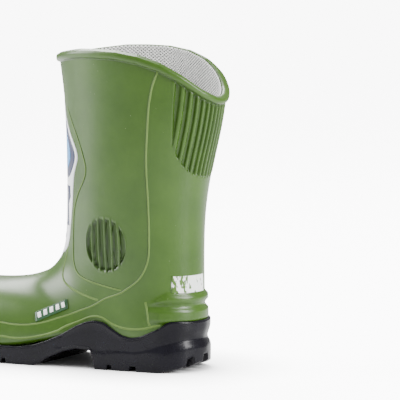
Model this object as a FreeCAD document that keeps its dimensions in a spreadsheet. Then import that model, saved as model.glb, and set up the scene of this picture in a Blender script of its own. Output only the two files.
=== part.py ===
"""A calf-height moulded rubber work boot, for the left foot.

The upper and the tread sole are two mouldings, one inside the other.  Between them and the foot lie a knitted
lining sock, a steel toe cap with its soft edge strip, a steel plate, a fibre board and a lift-out footbed.
A printed shin label, a heel print and a side badge are stuck to the outside.

Frame: millimetres, +X to the toe, +Y to the left (outer) side, +Z up.  The origin is on the ground, under the
middle of the heel.
"""
import FreeCAD, Part
import math
import os

import Sketcher

V = FreeCAD.Vector

# name, value in mm (or a plain number), what it is
SIZES = [
    ("sole_length", 300.0, "outsole, heel to toe"),
    ("sole_wall", 3.0, "how far the outsole stands outside the upper"),
    ("heel_radius", 40.5, "outsole heel, seen from above"),
    ("heel_ledge", 2.5, "how far the heel stands out below its ledge"),
    ("ledge_side", 20.0, "height of the ledge where it fades into the sides"),
    ("ledge_back", 28.0, "height of the ledge at the back"),
    ("heel_breast", 50.0, "front of the heel block, ahead of the heel centre"),
    ("arch_end", 110.0, "where the forefoot tread begins"),
    ("arch_lift", 17.0, "height of the waist over the ground"),
    ("toe_spring", 9.0, "lift of the tread at the toe"),
    ("heel_bevel", 9.0, "lift of the tread at the back of the heel"),
    ("sole_edge_heel", 48.0, "height of the outsole's edge round the heel"),
    ("sole_edge_peak", 44.5, "height of the edge's crest over the heel breast"),
    ("sole_edge_dip", 30.5, "height of the edge's dip beside the heel"),
    ("sole_edge_ball", 16.5, "height of the edge beside the ball"),
    ("sole_edge_toe", 38.0, "height of the edge at the toe"),
    ("groove_width", 5.0, "tread grooves"),
    ("groove_depth", 5.0, "tread grooves"),
    ("ball_outer", 51.0, "upper, half width on the outer side of the ball"),
    ("ball_inner", 48.0, "upper, half width on the inner side of the ball"),
    ("toe_swing", 7.0, "how far the toe turns to the inner side"),
    ("toe_height", 73.0, "top of the toe over the ground"),
    ("instep_height", 98.0, "height of the bend between shin and instep"),
    ("ankle_height", 146.0, "height of the narrowest leg section"),
    ("ankle_half_width", 46.0, "leg at its narrowest, side to side"),
    ("ankle_front", 98.0, "leg at its narrowest, ahead of the heel centre"),
    ("ankle_back", 36.0, "leg at its narrowest, behind the heel centre"),
    ("mouth_half_width", 50.0, "leg at the mouth, side to side"),
    ("mouth_front", 107.0, "leg at the mouth, ahead of the heel centre"),
    ("mouth_back", 60.0, "leg at the mouth, behind the heel centre"),
    ("heel_back", 35.0, "upper at the heel, behind the heel centre"),
    ("rim_side", 289.0, "height of the mouth at the sides"),
    ("rim_front", 282.0, "height of the mouth at the front"),
    ("rim_back", 243.0, "height of the mouth at the back"),
    ("rim_band", 8.0, "height of the thick band round the mouth"),
    ("rim_proud", 3.0, "how far that band stands out"),
    ("wall", 4.5, "upper"),
    ("lining", 1.5, "knitted lining"),
    ("lining_drop", 1.0, "lining's edge below the mouth"),
    ("cap", 1.8, "steel toe cap"),
    ("cap_depth", 48.0, "toe cap, front to back"),
    ("cap_strip", 9.0, "soft strip along the cap's back edge"),
    ("plate", 1.0, "steel plate under the foot"),
    ("plate_margin", 5.0, "plate's edge inside the cavity"),
    ("board", 2.0, "fibre board"),
    ("footbed_foam", 4.0, "foam of the footbed"),
    ("footbed_cloth", 0.8, "cloth on the footbed"),
    ("footbed_gap", 0.3, "round the footbed"),
    ("under_heel", 20.0, "underside of the upper at the heel, over the ground"),
    ("under_ball", 11.0, "underside of the upper at the ball, over the ground"),
    ("floor_extra", 1.8, "how much thicker the upper is in its floor"),
    ("kick_proud", 3.0, "kick-off ridges, out from the heel"),
    ("kick_low", 44.0, "bottom of the lower ridge"),
    ("kick_mid", 59.5, "valley between the ridges"),
    ("kick_high", 70.5, "top of the upper ridge"),
    ("kick_valley", 3.0, "width of that valley"),
    ("kick_front", -2.0, "front end of the ridges"),
    ("rib_depth", 1.5, "calf grooves and ankle slots"),
    ("calf_half_width", 36.0, "grooved calf panel"),
    ("calf_low", 176.0, "lowest point of the calf panel"),
    ("calf_corner", 204.0, "corners of the calf panel"),
    ("calf_pitch", 5.4, "one calf groove to the next"),
    ("calf_groove", 2.7, "width of a calf groove"),
    ("guard_x", 39.0, "centre of the ankle guard"),
    ("guard_z", 113.0, "centre of the ankle guard"),
    ("guard_half_width", 21.5, "ankle guard"),
    ("guard_half_height", 23.5, "ankle guard"),
    ("guard_pitch", 7.4, "one ankle slot to the next"),
    ("guard_slot", 4.6, "width of an ankle slot"),
    ("sticker", 0.4, "shin label, heel print"),
    ("badge", 1.2, "side badge"),
    ("badge_bar", 0.5, "raised bars on the badge"),
]

doc = FreeCAD.newDocument("rubber_boot")
sheet = doc.addObject("Spreadsheet::Sheet", "sizes")
for row, (name, value, note) in enumerate(SIZES, start=1):
    sheet.set(f"A{row}", name)
    sheet.set(f"B{row}", str(value))
    sheet.setAlias(f"B{row}", name)
    sheet.set(f"C{row}", note)
doc.recompute()


def size(name):
    return float(getattr(sheet, name))


def between(a, b, share):
    return a + (b - a) * share


# ------------------------------------------------------------------ the boot's form
def along_foot(share):
    """x at a share of the way from the front of the ankle to the tip of the toe."""
    tip = size("sole_length") - size("heel_radius") - size("sole_wall")
    return between(size("ankle_front"), tip, share)


def stations():
    """Sections of the outer form, from above the mouth to the toe.

    Each is (front or top point, back or bottom point, share of the way from back to front where it is widest,
    sideways shift, outer half width, inner half width, fullness in front, fullness behind).
    """
    ankle_z, mouth_z = size("ankle_height"), size("rim_side")
    ankle_w, mouth_w = size("ankle_half_width"), size("mouth_half_width")
    af, ab = size("ankle_front"), size("ankle_back")
    mf, mb = size("mouth_front"), size("mouth_back")
    heel, bend, under = size("heel_back"), size("instep_height"), size("under_heel")
    top, out, inn, swing = size("toe_height"), size("ball_outer"), size("ball_inner"), size("toe_swing")
    ball = size("under_ball")
    foot_w = ankle_w - 5.0
    foot = along_foot

    def leg(share, front, back, width):
        level = between(ankle_z, mouth_z, share)
        return ((between(af, mf, front), level), (-between(ab, mb, back), level), .46, 0, width, width, .71, .74)

    return [
        ((mf, mouth_z + 30), (-mb, mouth_z + 30), .46, 0, mouth_w + .5, mouth_w + .5, .72, .74),
        leg(1, 1, 1, mouth_w + .5),
        leg(.82, .65, .92, mouth_w),
        leg(.55, .15, .69, mouth_w - 1),
        leg(.27, -.03, .29, mouth_w - 2),
        ((af, ankle_z), (-ab, ankle_z - 2), .46, 0, ankle_w, ankle_w, .70, .74),
        ((af + 2, bend + 18), (-heel + .5, bend + 6), .45, 0, ankle_w - 2.5, ankle_w - 2.5, .70, .76),
        ((foot(.05), bend), (-heel, 64), .42, 0, foot_w, foot_w, .72, .80),
        ((foot(.12), between(top, bend, .50)), (-heel + 1.5, under + 14), .37, 0, foot_w, foot_w - 1, .76, 1.0),
        ((foot(.19), between(top, bend, .28)), (-heel + 15, under + 1), .31, 0, foot_w + .5, foot_w - 1, .77, 1.3),
        ((foot(.28), between(top, bend, .12)), (15, under), .26, 0, foot_w + 1, foot_w - 1, .78, 1.5),
        ((foot(.41), top + .5), (75, under + 2), .20, 1, between(foot_w, out, .5), between(foot_w, inn, .25), .80, 1.7),
        ((foot(.58), top - .5), (foot(.26), ball), .17, 0, out, inn, .84, 1.9),
        ((foot(.76), top - 2), (foot(.53), ball - 1), .17, -.3 * swing, out + .5, inn - 1, .90, 1.9),
        ((foot(.915), top - 13), (foot(.66), ball - .7), .17, -.6 * swing, out - .5, inn - 3, .92, 1.7),
        ((foot(.985), between(ball, top, .45)), (foot(.73), ball), .18, -.85 * swing, out - 1, inn - 4.5, .90, 1.3),
        ((foot(1), ball + 1.5), (foot(.78), ball + 1.5), .20, -swing, out - 2, inn - 6, .84, .9),
    ]


def inward(chain, i, way):
    """Unit vector square to a chain of points at its i-th point, on the side given by way."""
    run = (chain[min(i + 1, len(chain) - 1)] - chain[max(i - 1, 0)]).normalize()
    return V(-run.z, 0, run.x) * way


def section_frames(inset):
    """Centre, front arm, back arm, outer and inner half widths, fullnesses, of each section pulled in by inset."""
    table = stations()
    fronts = [V(s[0][0], s[3], s[0][1]) for s in table]
    backs = [V(s[1][0], s[3], s[1][1]) for s in table]
    last = len(table) - 1
    frames = []
    for i, station in enumerate(table):
        share, _, outer, inner, full_front, full_back = station[2:]
        if i in (0, last):  # the two end sections stay level
            up = V(0, 0, inset if i else 0)
            front, back = fronts[i] + V(-inset, 0, 0) + up, backs[i] + V(0 if i else inset, 0, 0) + up
        else:
            front = fronts[i] + inward(fronts, i, -1) * inset
            back = backs[i] + inward(backs, i, 1) * inset
        centre = back + (front - back) * share
        frames.append((centre, front - centre, back - centre, outer - inset, inner - inset, full_front, full_back))
    return frames


QUARTER = 6  # points along each quarter of a section


def conic(start, corner, end, fullness):
    """Points of a quarter of a section: an arc from start to end that keeps to the corner's two sides."""
    points = []
    for step in range(QUARTER):
        t = step / QUARTER
        a, b, c = (1 - t) ** 2, 2 * fullness * t * (1 - t), t * t
        points.append((start * a + corner * b + end * c) * (1 / (a + b + c)))
    return points


def section_wire(frame):
    centre, front, back, outer, inner, full_front, full_back = frame
    left, right = V(0, outer, 0), V(0, -inner, 0)
    points = conic(centre + back, centre + back + left, centre + left, full_back)
    points += conic(centre + left, centre + front + left, centre + front, full_front)
    points += conic(centre + front, centre + front + right, centre + right, full_front)
    points += conic(centre + right, centre + back + right, centre + back, full_back)
    curve = Part.BSplineCurve()
    knots = [k / len(points) for k in range(len(points) + 1)]
    curve.interpolate(Points=points, PeriodicFlag=True, Parameters=knots)
    return Part.Wire([curve.toShape()])


FORMS = {}


def form(inset):
    """The boot's outer form as a solid, pulled in by inset all round."""
    key = round(inset, 3)
    if key not in FORMS:
        FORMS[key] = Part.makeLoft([section_wire(f) for f in section_frames(inset)], True, False, False, 3)
    return FORMS[key]


# ------------------------------------------------------------------ curves seen from the side, and what they bound
WIDE = 90.0  # half the width of a region that spans the whole boot


def smooth(points, closed=False):
    curve = Part.BSplineCurve()
    curve.interpolate(Points=points, PeriodicFlag=closed)
    return curve.toShape()


def side_region(curve, far_z):
    """Everything between a curve seen from the side, given as (x, z) pairs, and the level far_z."""
    points = [V(x, -WIDE, z) for x, z in curve]
    first, last = points[0], points[-1]
    corners = [last, V(400, -WIDE, last.z), V(400, -WIDE, far_z), V(-150, -WIDE, far_z), V(-150, -WIDE, first.z), first]
    wire = Part.Wire([smooth(points)] + [Part.makeLine(a, b) for a, b in zip(corners, corners[1:])])
    return Part.Face(wire).extrude(V(0, 2 * WIDE, 0))


def block(x0, x1, y0, y1, z0, z1):
    return Part.makeBox(x1 - x0, y1 - y0, z1 - z0, V(x0, y0, z0))


def outline_prism(points, axis, start, end):
    """A closed smooth outline pushed along an axis; the points are pairs in the plane across it."""
    place = {"x": lambda p, d: V(d, p[0], p[1]), "y": lambda p, d: V(p[0], d, p[1])}[axis]
    push = {"x": V(end - start, 0, 0), "y": V(0, end - start, 0)}[axis]
    edge = smooth([place(p, start) for p in points], True)
    return Part.Face(Part.Wire([edge])).extrude(push)


def floor_curve(lift):
    rise = size("wall") + size("floor_extra")
    heel, ball = size("under_heel") + rise, size("under_ball") + rise
    far = along_foot(1)
    waist = [(50, heel + 1.5), (75, heel + 1.5), (100, between(ball, heel, .74)), (125, between(ball, heel, .21))]
    rest = [(145, ball + .5), (180, ball), (215, ball + .8), (far - 10, ball + 2.2), (far + 30, ball + 3)]
    return [(x, z + lift) for x, z in [(-90, heel), (-20, heel), (20, heel + .5)] + waist + rest]


def above_floor(lift):
    return side_region(floor_curve(lift), 340)


def floor_layer(inset, low, high):
    """A sheet on the floor, as wide as the form pulled in by inset."""
    return form(inset).common(above_floor(low).cut(above_floor(high)))


RIM_BACK = [(180, 0), (165, .05), (150, .26), (135, .53), (120, .76), (105, .91), (90, .985)]
RIM_FRONT = [(75, 1), (60, .95), (45, .62), (20, .12), (0, 0)]


def rim_curve(drop):
    """The mouth's edge: low behind the calf, highest at the sides, a little lower over the shin."""
    front, back = size("mouth_front") - 1, size("mouth_back")
    centre, arm = (front - back) / 2, (front + back) / 2
    side = size("rim_side") - drop
    low, fore = size("rim_back") - drop, size("rim_front") - drop
    curve = [(-back - 12, low - 6)]
    curve += [(centre + arm * math.cos(math.radians(a)), between(low, side, k)) for a, k in RIM_BACK]
    curve += [(centre + arm * math.cos(math.radians(a)), between(fore, side, k)) for a, k in RIM_FRONT]
    return curve + [(front + 14, fore - 1)]


def below_rim(drop):
    return side_region(rim_curve(drop), -40)


def sole_edge_curve():
    """Top edge of the outsole: high round the heel, a dip, a crest over the breast, low at the ball, up at the toe."""
    heel, dip, peak = size("sole_edge_heel"), size("sole_edge_dip"), size("sole_edge_peak")
    ball, toe = size("sole_edge_ball"), size("sole_edge_toe")
    scale = size("heel_breast") / 50.0
    back = [(-70, 1), (-34, 1), (-21, .90), (-14, .58), (-5, .35), (5, .09), (14, 0)]
    crest = [(23, .14), (32, .51), (41, .91), (50, 1)]
    waist = [(59, .93), (68, .79), (82, .49), (96, .27)]
    curve = [(x * scale, between(dip, heel, k)) for x, k in back]
    curve += [(x * scale, between(dip, peak, k)) for x, k in crest]
    curve += [(x * scale, between(ball, peak, k)) for x, k in waist]
    fore = [(.18, 0), (.29, .0), (.42, .07), (.64, .38), (.80, .80), (1.0, 1), (1.2, 1.02)]
    return curve + [(along_foot(s), between(ball, toe, k)) for s, k in fore]


def sole_outline(ledge, inset=0):
    """The outsole seen from above; above its ledge the heel is set in.  The plate is the same, much smaller."""
    wall, radius = size("sole_wall") - inset, size("heel_radius") - inset
    outer, inner = [], []
    for centre, _, _, out, inn, _, _ in section_frames(0)[11:16]:
        outer.append(V(centre.x, centre.y + out + wall, 0))
        inner.append(V(centre.x, centre.y - inn - wall, 0))
    centre, front, _, out, inn = section_frames(-wall)[-1][:5]
    toe = []
    for angle in (60, 35, 12, -12, -35, -60):
        wide = math.sin(math.radians(angle)) * (out if angle > 0 else inn)
        toe.append(V(centre.x + front.x * math.cos(math.radians(angle)) ** .94, centre.y + wide, 0))
    heel = []
    for angle in (270, 243, 216, 189, 171, 144, 117, 90):
        a = math.radians(angle)
        heel.append(V(ledge + radius * math.cos(a), radius * math.sin(a), 0))
    return toe + inner[::-1] + heel + outer


# ------------------------------------------------------------------ objects of the document
def feature(name, shape):
    obj = doc.addObject("Part::Feature", name)
    obj.Shape = shape
    obj.Label = name
    return obj


def box(name, length, width, height, x, y, z, turn=0):
    """A Part::Box whose sizes and place are expressions on the sheet, turned about the boot's vertical axis."""
    obj = doc.addObject("Part::Box", name)
    for prop, text in (("Length", length), ("Width", width), ("Height", height)):
        obj.setExpression(prop, text)
    if turn:
        obj.Placement.Rotation = FreeCAD.Rotation(V(0, 0, 1), turn)
    for axis, text in (("x", x), ("y", y), ("z", z)):
        obj.setExpression(f"Placement.Base.{axis}", text)
    return obj


def side_prism(name, corners):
    """A PartDesign body: a polygon drawn in the boot's middle plane, padded to both sides.

    Each corner is a pair of expressions for x and z.
    """
    body = doc.addObject("PartDesign::Body", name)
    plane = next(f for f in body.Origin.OriginFeatures if f.Role == "XZ_Plane")
    sketch = body.newObject("Sketcher::SketchObject", name + "_sketch")
    sketch.AttachmentSupport = [(plane, "")]
    sketch.MapMode = "FlatFace"
    scratch = doc.addObject("Spreadsheet::Sheet", name + "_corners")
    for row, pair in enumerate(corners, start=1):
        for column, text in zip("AB", pair):
            scratch.set(f"{column}{row}", "=" + text.replace("sizes.", "<<sizes>>."))
    doc.recompute()
    spots = [V(scratch.get(f"A{i + 1}"), scratch.get(f"B{i + 1}"), 0) for i in range(len(corners))]
    for i, spot in enumerate(spots):
        sketch.addGeometry(Part.LineSegment(spot, spots[(i + 1) % len(spots)]), False)
    for i in range(len(spots)):
        sketch.addConstraint(Sketcher.Constraint("Coincident", i, 2, (i + 1) % len(spots), 1))
    for i, (x, z) in enumerate(corners):
        for way, text, value in (("X", x, spots[i].x), ("Y", z, spots[i].y)):
            index = sketch.addConstraint(Sketcher.Constraint("Distance" + way, -1, 1, i, 1, value))
            sketch.setExpression(f"Constraints[{index}]", text)
    pad = body.newObject("PartDesign::Pad", name + "_pad")
    pad.Profile = sketch
    pad.SideType = "Symmetric"
    pad.Length = 2 * WIDE
    doc.removeObject(scratch.Name)
    doc.recompute()
    return body


NODES = []


def node(obj, name):
    obj.Label = name
    NODES.append((name, obj))
    return obj


# ------------------------------------------------------------------ upper
wall, cap, lining = size("wall"), size("cap"), size("lining")
plate, board = size("plate"), size("board")
toe_x = along_foot(1)

band = form(-size("rim_proud")).common(below_rim(0).cut(below_rim(size("rim_band"))))

kick = []
half_valley = size("kick_valley") / 2
for low, high in ((size("kick_low"), size("kick_mid") - half_valley), (size("kick_mid") + half_valley, size("kick_high"))):
    front = size("kick_front")
    slab = block(-90, front + (low - 55) * .2, -WIDE, WIDE, low, high)
    kick.append(form(-size("kick_proud")).common(slab))

outside = form(0).common(below_rim(0)).fuse([band] + kick)

cavity = form(wall).common(above_floor(plate))

# a steel cap and its soft strip lie in the inner face of the toe
cap_back = toe_x - size("cap_depth")
cap_zone = block(cap_back, toe_x + 30, -WIDE, WIDE, -10, 120)
strip_zone = block(cap_back - size("cap_strip"), cap_back, -WIDE, WIDE, -10, 120)


def cap_ring(zone):
    return form(wall - cap).common(above_floor(plate).common(zone)).cut(form(wall))


cap_shape, strip_shape = cap_ring(cap_zone), cap_ring(strip_zone)

# grooves over the calf and slots over the ankle, cut to an even depth
grooves = []
half_panel = size("calf_half_width")
count = int(half_panel / size("calf_pitch"))
for i in range(-count, count + 1):
    y = i * size("calf_pitch")
    low = between(size("calf_low"), size("calf_corner"), min(1, (abs(y) / half_panel) ** 3.2))
    half = size("calf_groove") / 2
    grooves.append(block(-90, -20, y - half, y + half, low, 300))
calf = below_rim(size("rim_band") + 6).common(grooves[0].multiFuse(grooves[1:]))

slots = []
gx, gz = size("guard_x"), size("guard_z")
pitch, half = size("guard_pitch"), size("guard_slot") / 2
for i in range(6):
    x = gx + (i - 2.5) * pitch
    slots.append(block(x - half, x + half, -WIDE, WIDE, gz - 60, gz + 60))
ring = Part.Ellipse(V(gx, -WIDE, gz + size("guard_half_height")), V(gx + size("guard_half_width"), -WIDE, gz), V(gx, -WIDE, gz))
guard = Part.Face(Part.Wire([ring.toShape()])).extrude(V(0, 2 * WIDE, 0)).common(slots[0].multiFuse(slots[1:]))
relief = calf.fuse(guard).cut(form(size("rib_depth")))

plate_line = sole_outline(0, size("sole_wall") + wall + size("plate_margin"))
plate_prism = Part.Face(Part.Wire([smooth(plate_line, True)])).extrude(V(0, 0, 90))
plate_shape = plate_prism.common(above_floor(0).cut(above_floor(plate)))
upper_shape = outside
for void in (cavity, cap_shape, strip_shape, plate_shape, relief):
    upper_shape = upper_shape.cut(void)
node(feature("upper_shape", upper_shape), "upper")

# ------------------------------------------------------------------ outsole
edge_top = side_region(sole_edge_curve(), -20)
face_low = Part.Face(Part.Wire([smooth(sole_outline(0), True)]))
face_high = Part.Face(Part.Wire([smooth(sole_outline(size("heel_ledge")), True)]))
ledge = side_region([
    (-70, size("ledge_back")), (-38, size("ledge_back")), (-22, between(size("ledge_side"), size("ledge_back"), .6)),
    (-5, size("ledge_side")), (20, size("ledge_side") - 3), (toe_x + 40, size("ledge_side") - 3)], -20)
blank = face_high.extrude(V(0, 0, 90)).fuse(face_low.extrude(V(0, 0, 90)).common(ledge))
feature("sole_blank", blank.common(edge_top))

arch = side_prism("arch_void", [
    ("sizes.heel_breast", "-5"), ("sizes.heel_breast", "sizes.arch_lift * 0.5"),
    ("sizes.heel_breast + 4", "sizes.arch_lift"), ("sizes.heel_breast + 18", "sizes.arch_lift + 1"),
    ("sizes.heel_breast + 30", "sizes.arch_lift - 2"), ("sizes.arch_end - 15", "sizes.arch_lift * 0.5"),
    ("sizes.arch_end", "0"), ("sizes.arch_end", "-5")])
tip = "(sizes.sole_length - sizes.heel_radius)"
toe_lift = side_prism("toe_void", [
    (f"{tip} - 82", "0"), (f"{tip} - 50", "sizes.toe_spring * 0.2"), (f"{tip} - 25", "sizes.toe_spring * 0.5"),
    (f"{tip} + 5", "sizes.toe_spring"), (f"{tip} + 5", "-5"), (f"{tip} - 82", "-5")])
heel_lift = side_prism("heel_void", [
    ("-sizes.heel_radius * 0.3", "0"), ("-sizes.heel_radius * 0.7", "sizes.heel_bevel * 0.4"),
    ("-sizes.heel_radius - 5", "sizes.heel_bevel * 1.15"), ("-sizes.heel_radius - 5", "-5"),
    ("-sizes.heel_radius * 0.3", "-5")])

cutters = []
for i, spot in enumerate((140, 156, 172, 188, 204, 220, 236)):
    # every other groove runs out through both edges; the rest stay inside
    name = f"tread_{i}"
    reach = "200" if i % 2 == 0 else "2 * sizes.ball_inner - 24"
    shift = "-100" if i % 2 == 0 else "-sizes.ball_inner + 12 - sizes.toe_swing / 2"
    x = f"{tip} - {259.5 - spot} - sizes.groove_width / 2"
    cutters.append(box(name, "sizes.groove_width", reach, "sizes.groove_depth + 4", x, shift, "-4"))
for i, (share, wide) in enumerate(((.24, 1.3), (.70, 1.0))):
    x = f"sizes.heel_breast * {share} - sizes.groove_width * {wide / 2}"
    cutters.append(box(f"heel_{i}", f"sizes.groove_width * {wide}", "200", "sizes.groove_depth + 4", x, "-100", "-4"))
for i, turn in enumerate((152, 180, 208)):
    # short grooves that leave the back of the heel, up through its bevel
    swing = math.radians(turn)
    side = "sizes.groove_width * 0.85"
    x = f"sizes.heel_radius * {.7 * math.cos(swing):.4f} + {side} * {math.sin(swing):.4f}"
    y = f"sizes.heel_radius * {.7 * math.sin(swing):.4f} - {side} * {math.cos(swing):.4f}"
    tall = "sizes.groove_depth + sizes.heel_bevel * 0.75 + 4"
    cutters.append(box(f"heel_back_{i}", "30", "sizes.groove_width * 1.7", tall, x, y, "-4", turn))
doc.recompute()
sole = doc.getObject("sole_blank").Shape
for void in [form(0).fuse(kick)] + [obj.Shape for obj in [arch, toe_lift, heel_lift] + cutters]:
    sole = sole.cut(void)
node(feature("sole_shape", sole), "outsole")

# ------------------------------------------------------------------ inside the boot
node(feature("plate_shape", plate_shape), "midsole_plate")
node(feature("board_shape", floor_layer(wall, plate, plate + board)), "insole_board")

node(feature("cap_shape", cap_shape), "toe_cap")
node(feature("strip_shape", strip_shape), "toe_cap_strip")

sock_low = plate + board
sock = form(wall).common(above_floor(sock_low)).common(below_rim(size("lining_drop")))
sock = sock.cut(form(wall + lining).common(above_floor(sock_low + lining)))
node(feature("sock_shape", sock), "lining_sock")

bed_low = sock_low + lining
bed_inset = wall + lining + size("footbed_gap")
foam_top = bed_low + size("footbed_foam")
node(feature("foam_shape", floor_layer(bed_inset, bed_low, foam_top)), "footbed_foam")
node(feature("cloth_shape", floor_layer(bed_inset, foam_top, foam_top + size("footbed_cloth"))), "footbed_cover")

# ------------------------------------------------------------------ stuck to the outside
sticker = size("sticker")
half_label = [(0, 246), (13, 240), (23, 223), (33, 204), (37, 190), (34, 176), (32, 161), (30.5, 146), (27, 124),
              (22, 105), (10, 99)]
label_points = half_label + [(0, 97.5)] + [(-y, z) for y, z in half_label[:0:-1]]
label_zone = outline_prism(label_points, "x", 45, 200)
node(feature("label_shape", form(-sticker).common(label_zone).cut(form(0))), "shin_label")

print_zone = block(-90, -8, -6, 28, size("kick_high") + .5, size("kick_high") + 16)
node(feature("print_shape", form(-sticker).common(print_zone).cut(form(0))), "heel_print")

corners = [(111.5, 47.5), (83, 60.5), (80.5, 52.5), (109, 39.5)]
badge_wire = Part.makePolygon([V(x, 10, z) for x, z in corners + corners[:1]])
badge_zone = Part.Face(badge_wire).extrude(V(0, 80, 0))
badge_shape = form(-size("badge")).common(badge_zone).cut(form(0))
node(feature("badge_shape", badge_shape), "side_badge")

# ------------------------------------------------------------------ check and write
doc.recompute()
for obj in doc.Objects:
    if "Invalid" in obj.State or "Error" in obj.State:
        raise RuntimeError(f"{obj.Label}: {obj.State}")
for name, obj in NODES:
    shape = obj.Shape
    if shape.isNull() or not shape.isValid() or not shape.Solids:
        raise RuntimeError(f"{name} has no valid solid")
os.makedirs("parts", exist_ok=True)
for name, obj in NODES:
    obj.Shape.exportStep(f"parts/{name}.step")
    shape = obj.Shape
    print(name, len(shape.Solids), round(shape.Volume / 1000, 2), "cm3")
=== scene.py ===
import math

import bpy
import numpy as np
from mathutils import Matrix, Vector


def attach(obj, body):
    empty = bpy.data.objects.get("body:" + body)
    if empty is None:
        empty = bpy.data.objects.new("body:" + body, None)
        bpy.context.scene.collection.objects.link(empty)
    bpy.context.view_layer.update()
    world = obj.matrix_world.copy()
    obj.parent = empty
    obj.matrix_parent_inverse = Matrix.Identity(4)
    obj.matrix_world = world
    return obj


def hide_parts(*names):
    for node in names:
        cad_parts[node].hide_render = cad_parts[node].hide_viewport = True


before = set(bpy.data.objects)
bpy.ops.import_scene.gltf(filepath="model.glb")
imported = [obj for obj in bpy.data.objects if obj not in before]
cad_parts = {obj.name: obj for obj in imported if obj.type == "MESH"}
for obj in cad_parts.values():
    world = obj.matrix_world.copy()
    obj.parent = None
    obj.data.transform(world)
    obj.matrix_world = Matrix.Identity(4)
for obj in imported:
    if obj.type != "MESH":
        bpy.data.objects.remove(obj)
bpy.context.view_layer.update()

MM = 0.001

# ------------------------------------------------------------------ camera
scene = bpy.context.scene
cam_data = bpy.data.cameras.new("camera")
camera = bpy.data.objects.new("camera", cam_data)
scene.collection.objects.link(camera)
scene.camera = camera
DISTANCE, HEIGHT, SWING = 2.800, 0.436, math.radians(29)
YAW, PITCH = math.radians(-.6223), math.radians(5.8011)
towards = np.array([math.sin(SWING), -math.cos(SWING)])
camera.location = (-towards[0] * DISTANCE, -towards[1] * DISTANCE, HEIGHT)
ahead = np.array([math.cos(YAW) * towards[0] - math.sin(YAW) * towards[1],
                  math.sin(YAW) * towards[0] + math.cos(YAW) * towards[1]])
look = Vector((ahead[0] * math.cos(PITCH), ahead[1] * math.cos(PITCH), -math.sin(PITCH)))
camera.rotation_euler = look.to_track_quat("-Z", "Y").to_euler()
cam_data.sensor_width = 36
cam_data.lens = 281.7
cam_data.clip_end = 30

# ------------------------------------------------------------------ the boot's form, in millimetres
# front or top x, z; back or bottom x, z; widest share; shift; outer, inner half width; fullness front, back
STATIONS = np.array([
    (107, 319, -60, 319, .46, 0, 50.5, 50.5, .72, .74),
    (107, 289, -60, 289, .46, 0, 50.5, 50.5, .71, .74),
    (103.8, 263.3, -58.1, 263.3, .46, 0, 50, 50, .71, .74),
    (99.3, 224.7, -52.6, 224.7, .46, 0, 49, 49, .71, .74),
    (97.7, 184.6, -43, 184.6, .46, 0, 48, 48, .71, .74),
    (98, 146, -36, 144, .46, 0, 46, 46, .70, .74),
    (100, 116, -34.5, 104, .45, 0, 43.5, 43.5, .70, .76),
    (105.9, 98, -35, 64, .42, 0, 41, 41, .72, .80),
    (117, 85.5, -33.5, 34, .37, 0, 41, 40, .76, 1.0),
    (128.1, 80, -20, 21, .31, 0, 41.5, 40, .77, 1.3),
    (142.4, 76, 15, 20, .26, 0, 42, 40, .78, 1.5),
    (163, 73.5, 75, 22, .20, 1, 46, 42.8, .80, 1.7),
    (189.9, 72.5, 139.2, 11, .17, 0, 51, 48, .84, 1.9),
    (218.5, 71, 182, 10, .17, -2.1, 51.5, 47, .90, 1.9),
    (243, 60, 202.6, 10.3, .17, -4.2, 50.5, 45, .92, 1.7),
    (254.1, 38.9, 213.7, 11, .18, -6, 50, 43.5, .90, 1.3),
    (256.5, 12.5, 221.6, 12.5, .20, -7, 49, 42, .84, .9),
], float)
LAST = len(STATIONS) - 1


def spline_slopes(values):
    """Second derivatives of the natural cubic spline through evenly spaced rows."""
    n = len(values)
    system = np.zeros((n, n))
    right = np.zeros_like(values)
    system[0, 0] = system[-1, -1] = 1
    for i in range(1, n - 1):
        system[i, i - 1:i + 2] = (1, 4, 1)
        right[i] = 6 * (values[i + 1] - 2 * values[i] + values[i - 1])
    return np.linalg.solve(system, right)


def spline_at(values, bend, u):
    """Points of the spline through evenly spaced rows, u counted in rows."""
    i = np.clip(np.floor(u).astype(int), 0, len(values) - 2)
    t = (u - i)[..., None]
    a, b = values[i], values[i + 1]
    ma, mb = bend[i], bend[i + 1]
    return (1 - t) * a + t * b + ((1 - t) ** 3 - (1 - t)) * ma / 6 + (t ** 3 - t) * mb / 6


BEND = spline_slopes(STATIONS)


def surface(u, v):
    """Points of the outer form: u runs over the sections, v goes round from the front (0) by the outer side
    (1), the back (2) and the inner side (3)."""
    u, v = np.broadcast_arrays(np.asarray(u, float), np.asarray(v, float))
    s = spline_at(STATIONS, BEND, np.clip(u, 0, LAST))
    v = np.mod(v, 4)
    quarter = np.floor(v).astype(int)
    t = v - quarter
    full = np.where((quarter == 0) | (quarter == 3), s[..., 8], s[..., 9])
    t0, t1, t2 = (1 - t) ** 2, 2 * full * t * (1 - t), t * t
    first, second = (t0 + t1) / (t0 + t1 + t2), (t1 + t2) / (t0 + t1 + t2)
    along = np.where(quarter == 0, first, np.where(quarter == 1, -second,
                                                   np.where(quarter == 2, -first, second)))
    side = np.where(quarter == 0, second, np.where(quarter == 1, first,
                                                   np.where(quarter == 2, -second, -first)))
    fx, fz, bx, bz, k = (s[..., i] for i in range(5))
    cx, cz = bx + (fx - bx) * k, bz + (fz - bz) * k
    ax = np.where(along > 0, fx - cx, cx - bx)
    az = np.where(along > 0, fz - cz, cz - bz)
    width = np.where(side > 0, s[..., 6], s[..., 7])
    return np.stack([cx + along * ax, s[..., 5] + side * width, cz + along * az], -1)


def normal(u, v):
    """Outward directions of the outer form."""
    e = 0.01
    du = surface(np.clip(u + e, 0, LAST), v) - surface(np.clip(u - e, 0, LAST), v)
    dv = surface(u, v + e) - surface(u, v - e)
    n = np.cross(du, dv)
    size = np.linalg.norm(n, axis=-1, keepdims=True)
    return n / np.maximum(size, 1e-9)


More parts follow.
